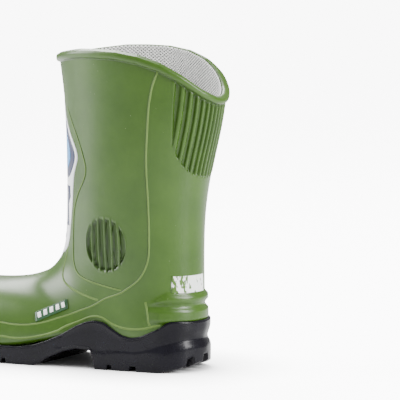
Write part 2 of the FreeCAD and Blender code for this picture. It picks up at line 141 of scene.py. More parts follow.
def find(first, second, axes, u, v):
    """(u, v) of the surface points with the given pair of coordinates, starting from a guess."""
    first, second = np.asarray(first, float), np.asarray(second, float)
    u, v = u + np.zeros(first.shape), v + np.zeros(first.shape)
    e = 0.004
    for _ in range(60):
        p = surface(u, v)
        r0, r1 = first - p[..., axes[0]], second - p[..., axes[1]]
        du, dv = (surface(u + e, v) - p) / e, (surface(u, v + e) - p) / e
        a, b, c, d = du[..., axes[0]], dv[..., axes[0]], du[..., axes[1]], dv[..., axes[1]]
        det = a * d - b * c
        det = np.where(np.abs(det) < 1e-3, np.sign(det + 1e-12) * 1e-3, det)
        u = np.clip(u + np.clip((d * r0 - b * r1) / det, -.6, .6), .05, LAST - .05)
        v = v + np.clip((a * r1 - c * r0) / det, -.2, .2)
    return u, v


def smoothstep(low, high, x):
    t = np.clip((x - low) / (high - low), 0, 1)
    return t * t * (3 - 2 * t)


# ------------------------------------------------------------------ relief of the upper, in millimetres
RIM_BACK, RIM_SIDE, RIM_FRONT = 242.5, 288.5, 281.5
# angle round the mouth from the front, and the share of the rise to the sides' height reached there
RIM_SHARES = np.array([(0, 0), (20, .12), (45, .62), (60, .95), (75, 1), (90, .985), (105, .91),
                       (120, .76), (135, .53), (150, .26), (165, .05), (180, 0)])


def rim_height(x):
    """Height of the mouth's edge over a point at x."""
    angle = np.degrees(np.arccos(np.clip((x - 23) / 83, -1, 1)))
    share = np.interp(angle, RIM_SHARES[:, 0], RIM_SHARES[:, 1])
    return np.where(angle < 75, RIM_FRONT, RIM_BACK) * (1 - share) + RIM_SIDE * share


# the calf panel's lower edge: distance from the middle line, height
CALF_EDGE = np.array([(0, 174.7), (4.8, 174.7), (12.7, 176), (20, 179), (25, 183), (29, 188), (33, 195),
                      (36, 204)])
CALF_PITCH = 5.0
# an ankle guard's centre x and z, half width and half height
GUARD = (39.0, 113.0, 21.5, 23.5)
GUARD_PITCH = 7.4


def relief(p):
    """How far the upper's skin stands out of the plain form at each point."""
    x, y, z = p[..., 0], p[..., 1], p[..., 2]
    out = np.zeros(x.shape)
    # two kick-off ridges across the heel
    squared = .12 * (1 - smoothstep(-1.2, .2, x - (z - 55) * .2)) + .88 * (1 - smoothstep(-13, -1, x))
    for low, high, tall in ((44, 58.2, 2.9), (61, 70.6 - 7.5 * smoothstep(-20, -1, x), 3.0)):
        ridge = smoothstep(low - 1, low + 3.2, z) * (1 - smoothstep(high - 3.2, high + .4, z))
        out += tall * ridge * squared
    # the grooved calf panel
    half = np.interp(z, (195, 204, 262), (33, 36.2, 40.5))
    floor = np.interp(np.abs(y), CALF_EDGE[:, 0], CALF_EDGE[:, 1])
    top = rim_height(x) - 9.8
    inside = smoothstep(-.8, .8, half - np.abs(y)) * smoothstep(-1, 1.4, z - floor)
    inside = inside * smoothstep(-1, 1.2, top - z) * (x < -8)
    phase = np.abs(np.mod(y / CALF_PITCH, 1) - .5) * 2  # 1 on a rib's crest
    out += inside * (-2.2 + 2.7 * smoothstep(.26, .74, phase))
    # slotted ankle guards
    gx, gz, rx, rz = GUARD
    reach = ((x - gx) / rx) ** 2 + ((z - gz) / rz) ** 2
    guard = 1 - smoothstep(.93, 1.05, reach)
    lean = x - gx + .10 * (x - gx) * ((z - gz) / rz) ** 2
    bar = np.abs(np.mod(lean / GUARD_PITCH + .5, 1) - .5) * GUARD_PITCH
    out += guard * (.5 - 3.3 * smoothstep(.8, 1.4, bar)) * (np.abs(y) > 15)
    lip = np.exp(-((np.sqrt(np.maximum(reach, 1e-6)) - 1.035) / .03) ** 2)
    out += .45 * lip * (np.abs(y) > 15) * (np.abs(x - gx) < 30) * (np.abs(z - gz) < 32)
    return out


# ------------------------------------------------------------------ helpers that make pieces
def new_piece(name, verts, faces, material, node=None, smooth=True):
    mesh = bpy.data.meshes.new(name)
    mesh.from_pydata([tuple(p) for p in np.asarray(verts) * MM], [],
                     [tuple(int(i) for i in f) for f in faces])
    mesh.validate()
    obj = bpy.data.objects.new(name, mesh)
    scene.collection.objects.link(obj)
    if smooth:
        mesh.shade_smooth()
    mesh.materials.append(material)
    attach(obj, "root")
    if node:
        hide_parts(*([node] if isinstance(node, str) else node))
    return obj


def grid_faces(rows, columns, closed):
    """Faces of a grid of rows by columns; closed joins the last column to the first."""
    span = columns if closed else columns - 1
    r, c = np.meshgrid(np.arange(rows - 1), np.arange(span), indexing="ij")
    a = r * columns + c
    b = r * columns + (c + 1) % columns
    return np.stack([a, b, b + columns, a + columns], -1).reshape(-1, 4)


def even_columns(u, count):
    """v values evenly spread round a section, half as dense again over the calf."""
    v = np.linspace(0, 4, 1601)
    step = np.linalg.norm(np.diff(surface(np.full(v.shape, float(u)), v), axis=0), axis=-1)
    step = step * np.where(np.abs((v[1:] + v[:-1]) / 2 - 2) < 1, 1.5, 1)
    total = np.concatenate([[0], np.cumsum(step)])
    return np.interp(np.linspace(0, total[-1], count + 1)[:-1], total, v)


def below_mouth(v, drop):
    """u on each column v at a drop below the mouth's edge."""
    low, high = np.full(v.shape, .1), np.full(v.shape, 4.5)
    for _ in range(40):
        u = (low + high) / 2
        p = surface(u, v)
        above = p[..., 2] > rim_height(p[..., 0]) - drop
        low, high = np.where(above, u, low), np.where(above, high, u)
    return (low + high) / 2


def skin(columns, edge_rows, leg_rows, foot_rows, offset, end):
    """A closed-round grid from the mouth to the toe.  edge_rows are (drop below the mouth, offset) pairs; the
    rest of the rows follow the form at the given offset, with the relief added when it is zero."""
    v = even_columns(3.0, columns)
    rows = []
    for drop, out in edge_rows:
        u = below_mouth(v, drop)
        rows.append(surface(u, v) + normal(u, v) * out)
    start = below_mouth(v, edge_rows[-1][0] + .9)
    levels = [start + (5 - start) * i / leg_rows for i in range(leg_rows)]
    levels += [np.full(v.shape, 5 + (end - 5) * i / foot_rows) for i in range(foot_rows + 1)]
    for u in levels:
        p = surface(u, v)
        out = offset + (relief(p)[..., None] if offset == 0 else 0)
        rows.append(p + normal(u, v) * out)
    return np.array(rows).reshape(-1, 3), grid_faces(len(rows), columns, True), len(rows)


DENSE_U, DENSE_V = np.meshgrid(np.linspace(.3, LAST - .1, 240), np.linspace(0, 3.99, 360), indexing="ij")
DENSE = surface(DENSE_U, DENSE_V)


def locate(points, axes, where):
    """(u, v) of surface points with given pairs of coordinates; where picks the part of the form."""
    allowed = np.where(where(DENSE_V, DENSE), 0, 1e6)
    us, vs = [], []
    for a, b in points:
        miss = (DENSE[..., axes[0]] - a) ** 2 + (DENSE[..., axes[1]] - b) ** 2 + allowed
        k = np.unravel_index(np.argmin(miss), miss.shape)
        us.append(DENSE_U[k])
        vs.append(DENSE_V[k])
    pts = np.array(points, float)
    return find(pts[:, 0], pts[:, 1], axes, np.array(us), np.array(vs))


def curve_through(points, spacing):
    """Evenly spaced values along the smooth curve through rows of control values."""
    points = np.asarray(points, float)
    dense = spline_at(points, spline_slopes(points), np.linspace(0, len(points) - 1, 60 * len(points)))
    place = surface(dense[:, 0], dense[:, 1])
    total = np.concatenate([[0], np.cumsum(np.linalg.norm(np.diff(place, axis=0), axis=-1))])
    want = np.linspace(0, total[-1], max(int(total[-1] / spacing), 4))
    return np.stack([np.interp(want, total, dense[:, 0]), np.interp(want, total, dense[:, 1])], -1)


BEAD_HALF_WIDTH, BEAD_HEIGHT = .85, .6


def bead(name, course, shaded=()):
    """A raised line moulded on the skin, along a curve given by (u, v) controls, tapered at its ends.
    shaded lists the strips of its cross-section that are painted in shade, the dark line along one side of a
    step."""
    line = curve_through(course, 1.6)
    p, n = surface(line[:, 0], line[:, 1]), normal(line[:, 0], line[:, 1])
    run = np.gradient(p, axis=0)
    side = np.cross(n, run)
    side /= np.linalg.norm(side, axis=-1, keepdims=True)
    count = len(line)
    taper = np.minimum(1, np.minimum(np.arange(count), count - 1 - np.arange(count)) / 5 + .1)[:, None]
    lift = relief(p)[:, None]
    profile = [(-1.9, -.5), (-1.15, .05), (-.75, .55), (-.35, .9), (0, 1), (.35, .9), (.75, .55),
               (1.15, .05), (1.9, -.5)]
    strips = [p + side * a * BEAD_HALF_WIDTH + n * (b * BEAD_HEIGHT * taper + lift * .5) for a, b in profile]
    verts = np.stack(strips, 1).reshape(-1, 3)
    made = new_piece(name, verts, grid_faces(count, len(profile), False), GREEN_HIGHLIGHT)
    # the listed strips take the darker green: painted shade along one side of the line
    if shaded:
        made.data.materials.append(GREEN_SHADE)
        for face in made.data.polygons:
            face.material_index = int(face.index % (len(profile) - 1) in shaded)


def patch(name, outline, axes, where, offset, material, node, thick=.35, rings=14, around=120):
    """A thin sticker on the skin: outline pairs in two coordinates, filled in rings from its middle."""
    pts = np.array(outline, float)
    closed = np.concatenate([pts[-3:], pts, pts[:3]])
    smooth = len(outline) > 8
    steps = np.linspace(3, 3 + len(pts), around, endpoint=False)
    if smooth:
        edge = spline_at(closed, spline_slopes(closed), steps)
    else:
        edge = np.stack([np.interp(steps, np.arange(len(closed)), closed[:, i]) for i in (0, 1)], -1)
    middle = (pts.max(0) + pts.min(0)) / 2 if smooth else pts.mean(0)
    shares = [k / rings for k in range(1, rings + 1)]
    flat = np.concatenate([[middle]] + [middle + (edge - middle) * share for share in shares])
    u, v = locate(flat, axes, where)
    p, n = surface(u, v), normal(u, v)
    verts = p + n * (offset + relief(p)[:, None])
    rim = slice(len(flat) - around, len(flat))
    verts = np.concatenate([verts, verts[rim] - n[rim] * (thick + .3)])
    faces = [(0, 1 + (i + 1) % around, 1 + i) for i in range(around)]
    faces += [tuple(f) for f in grid_faces(rings + 1, around, True) + 1]
    new_piece(name, verts, faces, material, node)


# ------------------------------------------------------------------ node groups and materials
def node_group(name, inputs, outputs):
    group = bpy.data.node_groups.new(name, "ShaderNodeTree")
    for label, kind, value in inputs:
        socket = group.interface.new_socket(label, in_out="INPUT", socket_type=kind)
        socket.default_value = value
    for label, kind in outputs:
        group.interface.new_socket(label, in_out="OUTPUT", socket_type=kind)
    return group, group.nodes.new("NodeGroupInput"), group.nodes.new("NodeGroupOutput")


def add(tree, kind, inputs=(), **settings):
    """A node with settings; inputs are (socket name or number, value or socket) pairs."""
    made = tree.nodes.new(kind)
    for key, value in settings.items():
        setattr(made, key, value)
    for key, value in inputs:
        if isinstance(value, bpy.types.NodeSocket):
            tree.links.new(value, made.inputs[key])
        else:
            made.inputs[key].default_value = value
    return made


def ramp(tree, source, stops):
    """A grey ramp; stops are (place, value) pairs."""
    made = add(tree, "ShaderNodeValToRGB", [("Fac", source)])
    elements = made.color_ramp.elements
    elements[0].position, elements[1].position = stops[0][0], stops[-1][0]
    elements[0].color, elements[1].color = (*[stops[0][1]] * 3, 1), (*[stops[-1][1]] * 3, 1)
    for place, value in stops[1:-1]:
        elements.new(place).color = (value, value, value, 1)
    return made.outputs["Color"]


def build_handled():
    """Dust, faint scuffs and tone changes of a moulded surface that has been handled."""
    group, inp, out = node_group("handled", [("Scale", "NodeSocketFloat", 1.0),
                                             ("Dust", "NodeSocketFloat", .3)],
                                 [("Tone", "NodeSocketFloat"), ("Dust", "NodeSocketFloat"),
                                  ("Height", "NodeSocketFloat")])
    where = add(group, "ShaderNodeTexCoord").outputs["Object"]
    point = add(group, "ShaderNodeVectorMath", [(0, where), ("Scale", inp.outputs["Scale"])],
                operation="SCALE").outputs[0]
    cloud = add(group, "ShaderNodeTexNoise", [("Vector", point), ("Scale", 26.0), ("Detail", 5.0),
                                              ("Roughness", .6)])
    fine = add(group, "ShaderNodeTexNoise", [("Vector", point), ("Scale", 900.0), ("Detail", 3.0),
                                             ("Roughness", .6)])
    specks = add(group, "ShaderNodeTexNoise", [("Vector", point), ("Scale", 260.0), ("Detail", 4.0),
                                               ("Roughness", .7)])
    stretch = add(group, "ShaderNodeMapping", [("Vector", point), ("Rotation", (.5, .3, .9)),
                                               ("Scale", (40, 420, 60))])
    scuffs = add(group, "ShaderNodeTexNoise", [("Vector", stretch.outputs[0]), ("Scale", 1.0),
                                               ("Detail", 4.0)])
    lines = ramp(group, scuffs.outputs["Fac"], [(.66, 0), (.74, 1)])
    spots = ramp(group, specks.outputs["Fac"], [(.60, 0), (.72, 1)])
    up = add(group, "ShaderNodeSeparateXYZ",
             [(0, add(group, "ShaderNodeNewGeometry").outputs["Normal"])]).outputs["Z"]
    lie = add(group, "ShaderNodeMapRange", [(0, up), (1, -.1), (2, 1.0), (3, .15), (4, 1.0)]).outputs[0]
    cloudy = add(group, "ShaderNodeMapRange", [(0, cloud.outputs["Fac"]), (1, .35), (2, .7)]).outputs[0]
    soft = add(group, "ShaderNodeMath", [(0, lie), (1, cloudy)], operation="MULTIPLY").outputs[0]
    some = add(group, "ShaderNodeMath", [(0, spots), (1, .35)], operation="MULTIPLY").outputs[0]
    both = add(group, "ShaderNodeMath", [(0, soft), (1, some)], operation="ADD").outputs[0]
    film = add(group, "ShaderNodeMath", [(0, both), (1, inp.outputs["Dust"])], operation="MULTIPLY",
               use_clamp=True)
    cells = add(group, "ShaderNodeTexVoronoi", [("Vector", point), ("Scale", 210.0)])
    near = add(group, "ShaderNodeMath", [(0, cells.outputs["Distance"]), (1, .062)],
               operation="LESS_THAN").outputs[0]
    pick = add(group, "ShaderNodeSeparateXYZ", [(0, cells.outputs["Color"])]).outputs["X"]
    few = add(group, "ShaderNodeMath", [(0, pick), (1, .8)], operation="GREATER_THAN").outputs[0]
    grit = add(group, "ShaderNodeMath", [(0, near), (1, few)], operation="MULTIPLY").outputs[0]
    faint = add(group, "ShaderNodeMath", [(0, grit), (1, .55)], operation="MULTIPLY").outputs[0]
    dust = add(group, "ShaderNodeMath", [(0, film.outputs[0]), (1, faint)], operation="MAXIMUM",
               use_clamp=True)
    grain = add(group, "ShaderNodeMath", [(0, fine.outputs["Fac"]), (1, .5)],
                operation="MULTIPLY").outputs[0]
    height = add(group, "ShaderNodeMath", [(0, grain), (1, lines)], operation="SUBTRACT").outputs[0]
    group.links.new(cloud.outputs["Fac"], out.inputs["Tone"])
    group.links.new(dust.outputs[0], out.inputs["Dust"])
    group.links.new(height, out.inputs["Height"])
    return group


def build_knit():
    """Knitted or woven cloth: two crossing families of threads over two lengths along the cloth."""
    group, inp, out = node_group("knit", [("Across", "NodeSocketFloat", 0), ("Along", "NodeSocketFloat", 0),
                                          ("Pitch", "NodeSocketFloat", .0022),
                                          ("Slant", "NodeSocketFloat", .6)],
                                 [("Height", "NodeSocketFloat"), ("Shade", "NodeSocketFloat")])
    where = add(group, "ShaderNodeTexCoord").outputs["Object"]
    round_way = inp.outputs["Across"]
    per = add(group, "ShaderNodeMath", [(0, 6.283), (1, inp.outputs["Pitch"])],
              operation="DIVIDE").outputs[0]
    lean = add(group, "ShaderNodeMath", [(0, inp.outputs["Along"]), (1, inp.outputs["Slant"])],
               operation="MULTIPLY").outputs[0]
    waves = []
    for sign in ("ADD", "SUBTRACT"):
        line = add(group, "ShaderNodeMath", [(0, round_way), (1, lean)], operation=sign).outputs[0]
        turn = add(group, "ShaderNodeMath", [(0, line), (1, per)], operation="MULTIPLY").outputs[0]
        waves.append(add(group, "ShaderNodeMath", [(0, turn)], operation="SINE").outputs[0])
    higher = add(group, "ShaderNodeMath", [(0, waves[0]), (1, waves[1])], operation="MAXIMUM").outputs[0]
    fuzz = add(group, "ShaderNodeTexNoise", [("Vector", where), ("Scale", 1400.0),
                                             ("Detail", 3.0)]).outputs["Fac"]
    height = add(group, "ShaderNodeMath", [(0, higher), (1, fuzz)], operation="ADD").outputs[0]
    # painted shade: the threads' colour darkens where they lie low, between the threads
    shade = add(group, "ShaderNodeMapRange", [(0, height), (1, .2), (2, 1.45), (3, .05),
                                              (4, 1.0)]).outputs[0]
    group.links.new(height, out.inputs["Height"])
    group.links.new(shade, out.inputs["Shade"])
    return group


HANDLED, KNIT = build_handled(), build_knit()


def material(name, setup):
    made = bpy.data.materials.new(name)
    made.use_nodes = True
    tree = made.node_tree
    shader = tree.nodes["Principled BSDF"]
    setup(tree, shader)
    return made


def mix(tree, share, first, second):
    """A blend of two colours, each given as three numbers or as a socket."""
    made = add(tree, "ShaderNodeMix", [(0, share)], data_type="RGBA")
    for socket, value in zip((made.inputs[6], made.inputs[7]), (first, second)):
        if isinstance(value, bpy.types.NodeSocket):
            tree.links.new(value, socket)
        else:
            socket.default_value = (*value, 1)
    return made.outputs[2]


def bump(tree, shader, height, strength, distance):
    made = add(tree, "ShaderNodeBump", [("Strength", strength), ("Distance", distance), ("Height", height)])
    tree.links.new(made.outputs[0], shader.inputs["Normal"])


def moulded(dark, light, dusty, rough, dust, scale=1.0, grain=.12, specular=.5, coat=0.0, shade_creases=False):
    """A moulded rubber or plastic surface between two tones, with dust and scuffs."""
    def setup(tree, shader):
        used = add(tree, "ShaderNodeGroup", node_tree=HANDLED)
        used.inputs["Scale"].default_value, used.inputs["Dust"].default_value = scale, dust
        tone = add(tree, "ShaderNodeMapRange", [(0, used.outputs["Tone"]), (1, .3), (2, .7)]).outputs[0]
        base = mix(tree, tone, dark, light)
        if shade_creases:
            # painted shade: the green darkens towards a near-black green where the upper's points are marked
            marked = add(tree, "ShaderNodeAttribute", attribute_name="painted_crease_shade").outputs["Fac"]
            deep = add(tree, "ShaderNodeMath", [(0, marked), (1, .4)], operation="MULTIPLY").outputs[0]
            base = mix(tree, deep, base, (.006, .014, .002))
        tree.links.new(mix(tree, used.outputs["Dust"], base, dusty), shader.inputs["Base Color"])
        rougher = add(tree, "ShaderNodeMapRange", [(0, used.outputs["Dust"]), (3, rough),
                                                   (4, min(rough + .45, 1))]).outputs[0]
        tree.links.new(rougher, shader.inputs["Roughness"])
        shader.inputs["Specular IOR Level"].default_value = specular
        shader.inputs["Coat Weight"].default_value = coat
        shader.inputs["Coat Roughness"].default_value = .25
        bump(tree, shader, used.outputs["Height"], grain, .0004)
    return setup


def cloth(dark, light, pitch, slant, strength=.7, measured=False):
    """Cloth; measured takes its lengths from the mesh's own thread lengths, else it lies flat in X and Y."""
    def setup(tree, shader):
        used = add(tree, "ShaderNodeGroup", node_tree=KNIT)
        if measured:
            ways = [add(tree, "ShaderNodeAttribute", attribute_name=name).outputs["Fac"]
                    for name in ("across", "along")]
        else:
            where = add(tree, "ShaderNodeTexCoord").outputs["Object"]
            flat = add(tree, "ShaderNodeSeparateXYZ", [(0, where)])
            ways = [flat.outputs["X"], flat.outputs["Y"]]
        tree.links.new(ways[0], used.inputs["Across"])
        tree.links.new(ways[1], used.inputs["Along"])
        used.inputs["Pitch"].default_value, used.inputs["Slant"].default_value = pitch, slant
        # colour from dark to light by the knit's Shade output: painted shade between the threads
        tree.links.new(mix(tree, used.outputs["Shade"], dark, light), shader.inputs["Base Color"])
        shader.inputs["Roughness"].default_value = .9
        shader.inputs["Sheen Weight"].default_value = .3
        bump(tree, shader, used.outputs["Height"], strength, .0006)
    return setup


def worn_print(tree, shader):
    """White print, rubbed through in patches that grow towards its outer end."""
    where = add(tree, "ShaderNodeTexCoord").outputs["Object"]
    long = add(tree, "ShaderNodeMapping", [("Vector", where), ("Scale", (1, 1, .45))]).outputs[0]
    patches = add(tree, "ShaderNodeTexNoise", [("Vector", long), ("Scale", 230.0), ("Detail", 5.0),
                                               ("Roughness", .6)])
    outward = add(tree, "ShaderNodeSeparateXYZ", [(0, where)]).outputs["Y"]
    more = add(tree, "ShaderNodeMapRange", [(0, outward), (1, .008), (2, .0265), (3, -.035),
                                            (4, .12)]).outputs[0]
    level = add(tree, "ShaderNodeMath", [(0, patches.outputs["Fac"]), (1, more)],
                operation="ADD").outputs[0]
    rubbed = ramp(tree, level, [(.555, 0), (.585, 1)])
    tree.links.new(mix(tree, rubbed, (.86, .88, .84), (.06, .135, .012)), shader.inputs["Base Color"])
    shader.inputs["Roughness"].default_value = .38
    bump(tree, shader, patches.outputs["Fac"], .15, .0003)


def metal(tree, shader):
    used = add(tree, "ShaderNodeGroup", node_tree=HANDLED)
    used.inputs["Scale"].default_value = 2.0
    tree.links.new(mix(tree, used.outputs["Tone"], (.42, .43, .45), (.62, .63, .64)),
                   shader.inputs["Base Color"])
    shader.inputs["Metallic"].default_value = 1.0
    shader.inputs["Roughness"].default_value = .35
    bump(tree, shader, used.outputs["Height"], .2, .0003)


GREEN = material("green_rubber", moulded((.028, .073, .0032), (.039, .095, .0054), (.26, .32, .18), .34,
                                         .05, specular=.38, coat=.08, shade_creases=True))
# a lighter copy of the green rubber for the raised lines: painted highlight along them
GREEN_HIGHLIGHT = material("green_painted_highlight", moulded((.085, .150, .030), (.105, .175, .040), (.26, .32, .18), .5, .05,
                                      specular=.25))
# a darker copy of the green rubber, used as painted shade along one side of some raised lines
GREEN_SHADE = material("green_shadow", moulded((.010, .026, .0015), (.014, .034, .002), (.10, .12, .06), .6, .03,
                                          specular=.2))
BLACK = material("black_rubber", moulded((.0024, .0021, .0042), (.0042, .0038, .0072), (.14, .14, .17), .27,
                                         .05, grain=.2, specular=.2))
KNITTED = material("lining_knit", cloth((.24, .25, .24), (1.0, 1.0, .97), .0024, .8, 1.0, measured=True))
COVER = material("footbed_cloth", cloth((.05, .052, .055), (.15, .155, .16), .0016, 1.0))
FOAM = material("footbed_foam", moulded((.05, .052, .055), (.07, .072, .075), (.3, .3, .3), .8, .15,
                                        scale=3))
BOARD = material("fibre_board", moulded((.34, .29, .21), (.42, .37, .28), (.5, .48, .42), .85, .2, scale=4))
STEEL = material("steel", metal)
STRIP = material("soft_strip", moulded((.02, .02, .02), (.03, .03, .03), (.2, .2, .2), .6, .2))
FILM_WHITE = material("label_white", moulded((.78, .80, .82), (.84, .85, .87), (.8, .8, .78), .28, .1,
                                             grain=.05))
FILM_NAVY = material("label_navy", moulded((.010, .016, .060), (.014, .022, .080), (.3, .32, .36), .28, .08,
                                           grain=.05))
FILM_BLUE = material("label_blue", moulded((.06, .27, .60), (.08, .33, .68), (.5, .6, .7), .28, .08,
                                           grain=.05))
PRINT = material("heel_print", worn_print)
BADGE = material("badge_green", moulded((.008, .050, .014), (.012, .066, .019), (.15, .25, .15), .4, .06))
BADGE_WHITE = material("badge_white", moulded((.86, .87, .85), (.92, .92, .90), (.7, .7, .65), .4, .08))

for name, used in (("midsole_plate", STEEL), ("insole_board", BOARD), ("toe_cap", STEEL),
                   ("toe_cap_strip", STRIP), ("footbed_foam", FOAM), ("footbed_cover", COVER)):
    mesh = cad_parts[name].data
    mesh.materials.clear()
    mesh.materials.append(used)

# ------------------------------------------------------------------ upper
# the rolled edge of the mouth: drop below the rim, offset from the form
EDGE = [(14, -4.4), (5, -4.3), (2.0, -4.2), (.8, -3.9), (.15, -3.2), (0, -2.3), (0, -1.2), (.2, -.3),
        (.6, .3), (1.0, 1.0), (1.3, 1.9), (1.9, 2.6), (2.8, 3.0), (4.2, 3.1), (5.6, 3.05), (6.7, 2.75),
        (7.5, 2.1), (8.0, 1.2), (8.3, .4), (8.6, 0)]
verts, faces, count = skin(600, EDGE, 150, 200, 0, LAST - .02)
upper = new_piece("upper_skin", verts, faces, GREEN, "upper")

# the steep walls of the moulded grooves and slots, marked point by point for painted shade
step = relief(verts).reshape(count, -1)
slope = np.abs(np.roll(step, 1, 1) - np.roll(step, -1, 1))
slope[1:-1] += np.abs(step[2:] - step[:-2])
painted_crease_shade = np.clip(slope / 2.6 * (step < .35) * (verts[:, 2].reshape(count, -1) > 88), 0, 1)
painted_crease_shade[:len(EDGE) + 1] = 0
# a band of painted shade along the underside of the mouth's rolled edge
painted_crease_shade[len(EDGE) - 4:len(EDGE) + 1] = np.array((.35, .8, 1, .9, .35))[:, None]
marks = upper.data.attributes.new("painted_crease_shade", "FLOAT", "POINT")
marks.data.foreach_set("value", painted_crease_shade.astype(np.float32).ravel())

outer_side = lambda v, p: (v > .25) & (v < 1.75)
inner_side = lambda v, p: (v > 2.25) & (v < 3.75)
foot_top = lambda v, p: ((v < 1) | (v > 3)) & (p[..., 0] > 150)
toe_tip = lambda v, p: ((v < .9) | (v > 3.1)) & (p[..., 0] > 200)
# courses of the raised lines, as x and z on the boot's sides
REAR = [(-16.8, 271.5), (-14.6, 265), (-11.7, 257), (-8.3, 240), (-6.5, 221), (-4.8, 200), (-4, 180),
        (-4.2, 159), (-4.2, 137), (-3.9, 119), (-3, 104), (.5, 92.7), (6.9, 82.8), (17.5, 74.7),
        (31.7, 67.6), (46.6, 61), (64.6, 52.8), (81.2, 46.4), (95.9, 41.5), (110.7, 37.7), (126, 36.2),
        (142, 37), (160, 38.5), (182, 40), (204, 46)]
FRONT = [(86.8, 235), (79.5, 222), (69.5, 206), (62, 190), (59.4, 179), (63.4, 168), (71.6, 155),
         (77.1, 140), (78.8, 125), (79.6, 111), (79.1, 97), (75.6, 87.6), (68.5, 82), (55.6, 78.3),
         (38.3, 75.2), (23.7, 72.9)]
INSTEP = [(88.8, 107), (91.4, 95.4), (92.9, 84.4), (90.9, 77.8), (84.9, 73), (75.1, 69), (62.3, 65.3),
          (48.3, 62.3)]
FEATHER = [(-13, 43), (-6.5, 41.5), (7, 38.7), (19, 38.8), (30, 41), (38, 44.5), (46, 47.5), (57, 46.5),
           (69, 41.5), (84, 34.5), (99, 28.5), (118, 24.5), (134, 23.8), (150, 24.5), (182, 27),
           (210, 34)]


def controls(points, where, axes=(0, 2)):
    """A course's (u, v) controls; v runs from -2 to 2 so that it does not jump at the front."""
    u, v = locate(points, axes, where)
    return np.stack([u, np.where(v > 2, v - 4, v)], -1)


over_toe = controls([(222, 40), (233, 24), (237, 4), (234, -16), (225, -35)], foot_top, (0, 1))
round_tip = controls([(34, 42), (18, 45), (-4, 46), (-24, 45), (-40, 42)], toe_tip, (1, 2))
for name, points, over, shaded in (("rear", REAR, over_toe, (0, 1)), ("feather", FEATHER, round_tip, ())):
    outer, inner = controls(points, outer_side), controls(points, inner_side)
    bead("upper_line_" + name, np.concatenate([outer, over, inner[::-1]]), shaded)
HEEL_END = [(.1, 63.4), (-1.2, 57), (-2.6, 50), (-4.1, 42.5)]
for name, points, near, far in (("front", FRONT, (6, 7), (0, 1)), ("instep", INSTEP, (), ()),
                                ("heel", HEEL_END, (), ())):
    bead(f"upper_line_{name}_outer", controls(points, outer_side), near)
    bead(f"upper_line_{name}_inner", controls(points, inner_side), far)

# ------------------------------------------------------------------ lining
LINING_COLUMNS = 260
LINING_EDGE = [(6, -4.5), (2.2, -4.6), (1.3, -4.9), (1.0, -5.4), (1.4, -5.9), (2.4, -6.1)]
verts, faces, count = skin(LINING_COLUMNS, LINING_EDGE, 90, 90, -6.0, LAST - 2)
lining = new_piece("lining", verts, faces, KNITTED, "lining_sock")
cloth_grid = verts.reshape(count, LINING_COLUMNS, 3) * MM
LEG_ROUND = .33  # metres of cloth round the leg; the stitches mirror at the front seam and meet at the back
from_front = 1 - np.abs(np.linspace(-1, 1, LINING_COLUMNS))
across = np.broadcast_to(LEG_ROUND * from_front, (count, LINING_COLUMNS))
steps = np.linalg.norm(np.diff(cloth_grid, axis=0), axis=-1)
along = np.concatenate([np.zeros((1, LINING_COLUMNS)), np.cumsum(steps, 0)])
for name, values in (("across", across / 2), ("along", along)):
    lengths = lining.data.attributes.new(name, "FLOAT", "POINT")
    lengths.data.foreach_set("value", values.astype(np.float32).ravel())

# ------------------------------------------------------------------ outsole
# heights of the outsole's top edge, then of its underside, along x; then its outline seen from above
EDGE_TOP = np.array([(-70, 45.6), (-38, 45.8), (-28, 46.6), (-21, 46), (-14, 40.6), (-5, 36.6), (5, 32.1),
                     (14, 30.5), (23, 32.5), (32, 37.6), (41, 43.2), (50, 44.5), (59, 42.5), (68, 38.6),
                     (82, 30.2), (96, 24), (110, 19.3), (127, 16.5), (144, 16.5), (165, 18), (185, 21.6),
                     (200, 25), (212, 29), (225, 33.6), (240, 37), (262, 38)])
TREAD_DEPTH = 4.6
UNDER = np.array([(-60, 13), (-45, 10.2), (-28, 3.6), (-12, 0), (49.4, 0), (50.6, 9), (54, 17), (68, 18),
                  (80, 15), (95, 8.5), (110, 0), (177, 0), (209, 1.8), (234, 4.5), (262, 9)])
OUTLINE = [(0, 40.5), (48.1, 45), (92.6, 50), (147.8, 54), (188.2, 52.4), (209.4, 49.4), (226, 46.2),
           (242.7, 39.8), (253.3, 25), (258.6, 6), (259, -12), (254.4, -32), (242.1, -47.4), (224, -52.2),
           (207, -52.2), (188.2, -52.1), (147.8, -51), (92.6, -44.8), (48.1, -43), (0, -40.5),
           (-18.4, -36.1), (-32.8, -23.8), (-40, -6.3), (-40, 6.3), (-32.8, 23.8), (-18.4, 36.1)]


def closed_line(points, spacing):
    """Evenly spaced points of the smooth closed line through control points, with outward directions."""
    pts = np.array(points, float)
    wrapped = np.concatenate([pts[-4:], pts, pts[:5]])
    dense = spline_at(wrapped, spline_slopes(wrapped), np.linspace(4, 4 + len(pts), 6000))
    total = np.concatenate([[0], np.cumsum(np.linalg.norm(np.diff(dense, axis=0), axis=-1))])
    want = np.linspace(0, total[-1], int(total[-1] / spacing), endpoint=False)
    line = np.stack([np.interp(want, total, dense[:, i]) for i in (0, 1)], -1)
    run = np.roll(line, -1, axis=0) - np.roll(line, 1, axis=0)
    out = np.stack([-run[:, 1], run[:, 0]], -1)
    return line, out / np.linalg.norm(out, axis=-1, keepdims=True)


